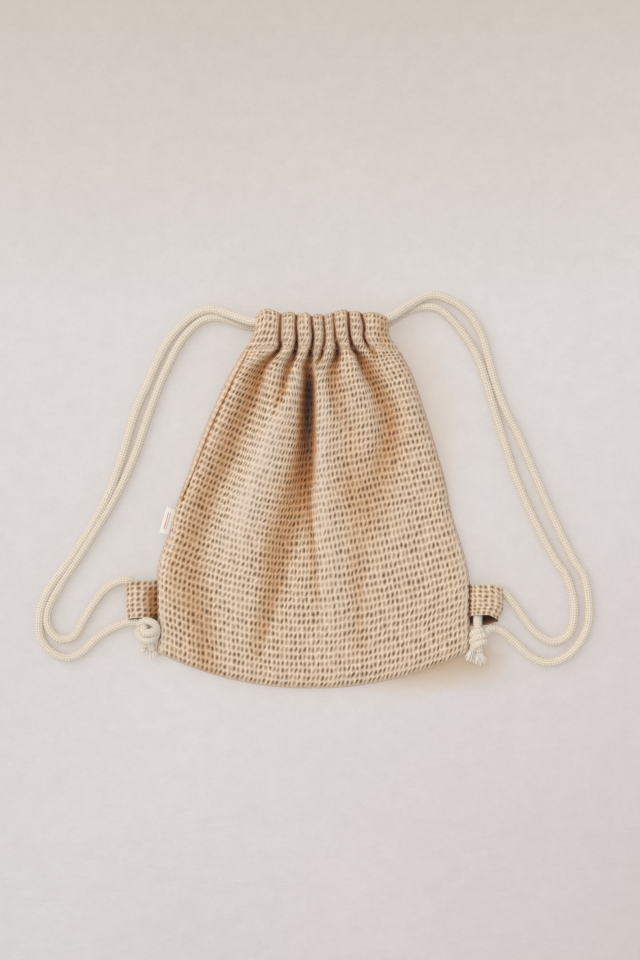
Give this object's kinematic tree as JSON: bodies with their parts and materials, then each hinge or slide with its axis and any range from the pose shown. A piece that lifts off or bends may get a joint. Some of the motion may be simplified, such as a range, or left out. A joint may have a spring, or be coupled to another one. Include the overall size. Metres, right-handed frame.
{
  "type": "drawstring bag",
  "caption": "Flat waffle-weave drawstring bag with a gathered mouth, braided cord straps knotted through fabric tab loops, and a plain side label.",
  "frame": {"origin": "on the back panel's resting face, under the middle of the bag", "axes": "+Z out of the front panel, +Y towards the gathered mouth, +X towards the bag's right side"},
  "size_m": [0.5572, 0.3932, 0.0306],
  "materials": {
    "waffle_cloth": "undyed cotton waffle weave, matte",
    "cord": "braided cotton cord, matte",
    "thread": "cotton sewing thread",
    "label": "plain woven ribbon"
  },
  "bodies": {
    "bag": {"back_panel": "waffle_cloth", "front_panel": "waffle_cloth", "back_casing": "waffle_cloth", "front_casing": "waffle_cloth", "back_casing_stitching": "thread", "front_casing_stitching": "thread", "left_side_seam_thread": "thread", "right_side_seam_thread": "thread", "bottom_seam_thread": "thread", "left_tab_stitching": "thread", "right_tab_stitching": "thread", "label_stitching": "thread", "left_cord_front_run": "cord", "left_cord_back_run": "cord", "right_cord_front_run": "cord", "right_cord_back_run": "cord"},
    "left_mouth_end": {"left_mouth_bartack": "thread", "right_cord_bight": "cord"},
    "right_mouth_end": {"right_mouth_bartack": "thread", "left_cord_bight": "cord"},
    "left_strap": {"left_cord_outer_strand": "cord", "left_cord_inner_strand": "cord", "left_cord_knot": "cord", "left_tab_loop": "waffle_cloth"},
    "right_strap": {"right_cord_outer_strand": "cord", "right_cord_inner_strand": "cord", "right_cord_knot": "cord", "right_tab_loop": "waffle_cloth"},
    "label": {"side_label": "label"}
  },
  "joints": [
    {"name": "left_mouth_cinch", "type": "slide", "parent": "bag", "child": "left_mouth_end", "axis": [1, 0, 0], "range_m": [-0.012, 0.024], "deforming": ["front_casing", "back_casing"]},
    {"name": "right_mouth_cinch", "type": "slide", "parent": "bag", "child": "right_mouth_end", "axis": [1, 0, 0], "range_m": [-0.024, 0.012]},
    {"name": "left_strap_swing", "type": "hinge", "parent": "bag", "child": "left_strap", "pos_m": [-0.092, 0.182, 0.009], "axis": [0.236, 0.9717, -0.0017], "range_deg": [0, 100]},
    {"name": "right_strap_swing", "type": "hinge", "parent": "bag", "child": "right_strap", "pos_m": [0.1, 0.196, 0.009], "axis": [0.1971, -0.9804, 0.0017], "range_deg": [0, 100]},
    {"name": "label_flap", "type": "hinge", "parent": "bag", "child": "label", "pos_m": [-0.1423, -0.022, 0.005], "axis": [0.2779, 0.9606, 0], "range_deg": [-22, 75]}
  ],
  "couplings": [
    {"joint": "right_mouth_cinch", "follows": "left_mouth_cinch", "ratio": -1}
  ]
}
